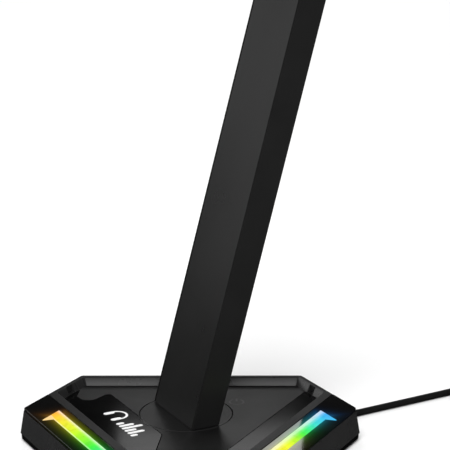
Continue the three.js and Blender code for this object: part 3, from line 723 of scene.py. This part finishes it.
def pad_places():
    """The pad's middle, its half-sizes both ways, and how high the middle of its foot is."""
    (left, right), (near, far) = span("head_pad", ACROSS), span("head_pad", LEANING)
    low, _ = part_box("head_pad")
    middle = ACROSS * ((left + right) / 2) + LEANING * ((near + far) / 2)
    half_u, half_v = (right - left) / 2, (far - near) / 2
    return middle, half_u, half_v, low.z + arch_drop(half_u)


def over_saddle(inset, height):
    """A ring of points round the pad, a distance in from its edge and above the saddle."""
    middle, half_u, half_v, crest = pad_places()
    corner = max(PAD_CORNER - inset, PAD_LEAST_CORNER)
    return [
        middle + ACROSS * u + LEANING * v + Vector((0, 0, crest + height - arch_drop(u)))
        for u, v in rounded_ring(half_u - inset, half_v - inset, corner)
    ]


def leatherette():
    """Grained artificial leather with soft creases, uneven in tone."""
    paint = Paint("leatherette")
    grain = paint.cells(1100)
    creases = paint.noise(140, 5)
    paint.set(
        Base_Color=paint.ramp(creases, [(0.3, grey(0.010)), (0.75, grey(0.018))]),
        Roughness=paint.spread(grain, 0, 0.6, 0.45, 0.62),
        Specular_IOR_Level=0.35,
    )
    paint.bump(paint.maths("ADD", grain, creases), 120 * MICRON, 0.5)
    return paint.material


def make_pad():
    """The crowned pad with its sewn channel, in the CAD pad's place."""
    work = bmesh.new()
    rings = [[work.verts.new(p) for p in over_saddle(d * MM, h * MM)] for d, h in PAD_RINGS]
    for lower, upper in zip(rings, rings[1:]):
        for k in range(len(lower)):
            work.faces.new((lower[k - 1], lower[k], upper[k], upper[k - 1]))
    work.faces.new(rings[0][::-1])
    work.faces.new(rings[-1])
    pad = add_piece("pad", work, leatherette(), "post", smooth=True)
    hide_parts("head_pad")


STITCH_PITCH = 3.2 * MM
STITCH_SIZE = Vector((1.1, 0.3, 0.22)) * MM  # half its length, width and height


def make_stitches():
    """A running stitch in the pad's seam."""
    seam = over_saddle(SEAM_INSET, SEAM_HEIGHT)
    work = bmesh.new()
    walked = 0
    for start, end in zip(seam, seam[1:] + seam[:1]):
        reach = (end - start).length
        while walked < reach:
            along = (end - start).normalized()
            turn = along.to_track_quat("X", "Z").to_matrix().to_4x4()
            size = Matrix.Diagonal((*STITCH_SIZE, 1))
            place = Matrix.Translation(start + along * walked) @ turn @ size
            bmesh.ops.create_uvsphere(work, u_segments=8, v_segments=5, radius=1, matrix=place)
            walked += STITCH_PITCH
        walked -= reach
    thread = moulded(
        "thread", tone=0.035, roughness=0.75, specular=0.2, grain=3000, depth=30 * MICRON)
    add_piece("pad_stitches", work, thread, "post", smooth=True)


make_pad()
make_stitches()


def blocks(name, places, size, edge, material):
    """Equal small blocks with softened edges, as one piece, from the places of their middles."""
    work = bmesh.new()
    for place in places:
        matrix = Matrix.Translation(place) @ Matrix.Diagonal((*size, 1))
        bmesh.ops.create_cube(work, size=1, matrix=matrix)
    soften(add_piece(name, work, material, "base"), edge)


# Places along Y are from the front ends of the plug's body, sleeve and tongue.
RIBS, RIBS_AT, RIB_PITCH = 5, 4.45 * MM, 2 * MM
RIB_SIZE = Vector((10, 0.9, 0.8)) * MM
WINDOWS_OUT, WINDOWS_AT, WINDOWS_SUNK = 2.8 * MM, 5.15 * MM, 0.085 * MM
WINDOW_SIZE = Vector((2.3, 2.3, 0.23)) * MM
CONTACTS_OUT, CONTACTS_AT = (-3.5 * MM, -1.15 * MM, 1.15 * MM, 3.5 * MM), 4.1 * MM
CONTACT_SIZE = Vector((1.2, 7, 0.2)) * MM


def make_plug_details():
    """Grip ribs on the plug, dark blocks as painted shade in the two windows of its sleeve, and the
    contacts on its tongue.
    """
    body_low, body_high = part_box("plug_body")
    sleeve_low, sleeve_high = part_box("plug_shell")
    tongue_low, tongue_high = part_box("plug_tongue")
    middle = (body_low.x + body_high.x) / 2
    ribs = [
        Vector((middle, body_low.y + RIBS_AT + RIB_PITCH * k, height))
        for height in (body_low.z, body_high.z)
        for k in range(RIBS)
    ]
    plastic = moulded(
        "rib_plastic", tone=0.006, roughness=0.4, specular=0.2, grain=3200, depth=10 * MICRON)
    blocks("plug_ribs", ribs, RIB_SIZE, 0.15 * MM, plastic)
    windows = [
        Vector((middle + out, sleeve_low.y + WINDOWS_AT, sleeve_high.z - WINDOWS_SUNK))
        for out in (-WINDOWS_OUT, WINDOWS_OUT)
    ]
    # Painted shade: near-black blocks stand in for the dark inside the sleeve's windows.
    dark = moulded(
        "sleeve_hole_shade", tone=0.002, roughness=0.6, specular=0.1, grain=2000, depth=10 * MICRON)
    blocks("plug_hole_shades", windows, WINDOW_SIZE, 0.02 * MM, dark)
    contacts = [
        Vector((middle + out, tongue_low.y + CONTACTS_AT, tongue_high.z)) for out in CONTACTS_OUT
    ]
    plating = metal("contact_plating", tone=0.6, roughness=0.25)
    blocks("plug_contacts", contacts, CONTACT_SIZE, 0.05 * MM, plating)


make_plug_details()


def ribbon(name, path, low_y, high_y, thick, material):
    """A flat strip that follows a path in X and Z."""
    work = bmesh.new()
    sections = []
    for k, (x, z) in enumerate(path):
        before, after = path[max(k - 1, 0)], path[min(k + 1, len(path) - 1)]
        along = Vector((after[0] - before[0], 0, after[1] - before[1])).normalized()
        out = Vector((-along.z, 0, along.x)) * (thick / 2)
        sections.append([
            work.verts.new(Vector((x, y, z)) + out * side)
            for y, side in ((low_y, -1), (high_y, -1), (high_y, 1), (low_y, 1))
        ])
    for first, second in zip(sections, sections[1:]):
        for k in range(4):
            work.faces.new((first[k - 1], first[k], second[k], second[k - 1]))
    work.faces.new(sections[0])
    work.faces.new(sections[-1][::-1])
    soften(add_piece(name, work, material, "base"), 0.1 * MM)


def woven(name, tone):
    """Nylon webbing: fine crossing threads."""
    paint = Paint(name)
    warp = paint.noise(5200, 1, (1, 0.05, 1))
    weft = paint.noise(5200, 1, (0.05, 1, 1))
    threads = paint.maths("ADD", warp, weft)
    paint.set(
        Base_Color=paint.ramp(threads, [(0.4, grey(tone * 0.6)), (0.7, grey(tone * 1.3))]),
        Roughness=paint.spread(threads, 0.6, 1.4, 0.7, 0.9),
    )
    paint.bump(threads, 80 * MICRON, 0.6)
    return paint.material


STRAP_THICK = 0.55 * MM
# From the tie's left end and top, in millimetres.
STRAP_TAIL = [(2, 0.3), (6, 0.3), (9, 0.35), (11.5, 0.8), (13.5, 1.7), (15, 2.9)]


def make_strap_tail():
    """The loose end of the strap round the coil, pressed on its top and lifting at its tip."""
    low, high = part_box("cable_tie")
    path = [(low.x + along * MM, high.z + up * MM) for along, up in STRAP_TAIL]
    webbing = woven("webbing", 0.012)
    ribbon("strap_tail", path, low.y, high.y, STRAP_THICK, webbing)


make_strap_tail()

# ---------- studio ----------
FLOOR_SIZE = 12
SKY_SEEN = 1.0  # the world's brightness to the camera
SKY_REFLECTED = 0.02
SKY_SHADE = 0.55  # its brightness to everything else


def make_floor():
    """A plain pale floor, left out of reflections so that the dark plastics stay dark."""
    bpy.ops.mesh.primitive_plane_add(size=FLOOR_SIZE)
    floor = bpy.context.object
    floor.name = "studio_floor"
    paint = Paint("studio_floor")
    cloud = paint.noise(3)
    paint.set(
        Base_Color=paint.clouded(cloud, grey(0.86), grey(0.88)),
        Roughness=paint.uneven(cloud, 0.7, 0.8),
        Specular_IOR_Level=0.2,
    )
    floor.data.materials.append(paint.material)
    floor.visible_glossy = False


def softbox(name, at, toward, width, height, radiance):
    """An area light that the camera doesn't see, facing a point."""
    data = bpy.data.lights.new(name, "AREA")
    data.shape = "RECTANGLE"
    data.size = width
    data.size_y = height
    data.energy = radiance * math.pi * width * height
    lamp = bpy.data.objects.new(name, data)
    lamp.location = at
    lamp.rotation_euler = (Vector(toward) - Vector(at)).to_track_quat("-Z", "Y").to_euler()
    lamp.visible_camera = False
    SCENE.collection.objects.link(lamp)


def choose(tree, factor, plain, chosen):
    """A plain number, or the chosen one where the factor is 1."""
    node = tree.nodes.new("ShaderNodeMix")
    node.data_type = "FLOAT"
    tree.links.new(factor, node.inputs["Factor"])
    if isinstance(plain, bpy.types.NodeSocket):
        tree.links.new(plain, node.inputs["A"])
    else:
        node.inputs["A"].default_value = plain
    node.inputs["B"].default_value = chosen
    return node.outputs["Result"]


def make_world():
    """White to the camera, nearly black in reflections and soft in shade."""
    world = bpy.data.worlds.new("studio")
    world.use_nodes = True
    tree = world.node_tree
    background = tree.nodes["Background"]
    ray = tree.nodes.new("ShaderNodeLightPath")
    unseen = choose(tree, ray.outputs["Is Glossy Ray"], SKY_SHADE, SKY_REFLECTED)
    strength = choose(tree, ray.outputs["Is Camera Ray"], unseen, SKY_SEEN)
    tree.links.new(strength, background.inputs["Strength"])
    background.inputs["Color"].default_value = (1, 1, 1, 1)
    SCENE.world = world


def make_lights():
    """A broad sun for the shade, and softboxes that the plastics reflect."""
    sun = bpy.data.lights.new("sun", "SUN")
    sun.energy = 2.2
    sun.angle = math.radians(35)
    lamp = bpy.data.objects.new("sun", sun)
    lamp.rotation_euler = (math.radians(25), math.radians(-6), 0)
    lamp.visible_glossy = False
    SCENE.collection.objects.link(lamp)
    softbox(
        "back_softbox", at=(0.0061, 0.5, 0.387), toward=(0.0061, 0, 0.387),
        width=0.136, height=0.34, radiance=2.3)
    softbox(
        "high_back_softbox", at=(0, 0.8, 1.1), toward=(0, 0, 0),
        width=1.4, height=0.5, radiance=0.3)
    softbox(
        "left_softbox", at=(-0.62, 0.46, 0.42), toward=(0, 0.05, 0.15),
        width=0.40, height=0.56, radiance=1.3)
    softbox(
        "wall_softbox", at=(-0.62, 0.30, 0.12), toward=(0.06, 0.05, 0.02),
        width=0.16, height=0.12, radiance=2.0)
    softbox(
        "front_softbox", at=(0, -1.3, 0.72), toward=(0, 0.07, 0),
        width=0.8, height=0.30, radiance=5.5)


make_floor()
make_world()
make_lights()
SCENE.view_settings.view_transform = "Standard"
